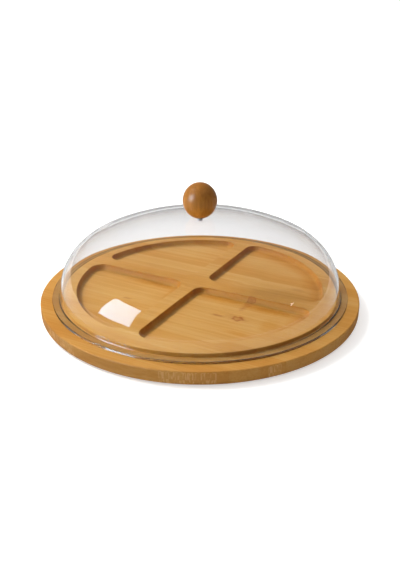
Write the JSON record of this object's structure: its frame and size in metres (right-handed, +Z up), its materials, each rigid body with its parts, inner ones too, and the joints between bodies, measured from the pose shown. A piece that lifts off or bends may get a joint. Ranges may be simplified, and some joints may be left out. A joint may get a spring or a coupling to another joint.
{
  "type": "cheese dome",
  "caption": "Round bamboo serving board with shallow compartments in a raised middle, under a clear flanged dome that lifts off by a ball knob and turns freely.",
  "frame": {"origin": "centre of the board's underside, on the surface that it stands on", "axes": "+Z up along the dome's axis, +X along the bamboo grain and one of the board's ribs"},
  "size_m": [0.34, 0.34, 0.1345],
  "materials": {
    "board_bamboo": "oiled satin bamboo",
    "clear_acrylic": "clear gloss acrylic",
    "knob_bamboo": "turned satin bamboo",
    "clear_pad": "clear soft plastic",
    "insert_brass": "machined brass",
    "clear_washer": "frosted clear plastic",
    "screw_steel": "stainless steel"
  },
  "bodies": {
    "board": {"board": "board_bamboo"},
    "lid_carrier": {"crown_washer": "clear_washer"},
    "lid": {"dome": "clear_acrylic", "knob": "knob_bamboo", "knob_pad": "clear_pad", "knob_insert": "insert_brass", "crown_screw": "screw_steel"}
  },
  "joints": [
    {"name": "lid_lift", "type": "slide", "parent": "board", "child": "lid_carrier", "axis": [0, 0, 1], "range_m": [0, 0.2]},
    {"name": "lid_turn", "type": "hinge", "parent": "lid_carrier", "child": "lid", "pos_m": [0, 0, 0.015], "axis": [0, 0, 1], "continuous": true}
  ]
}
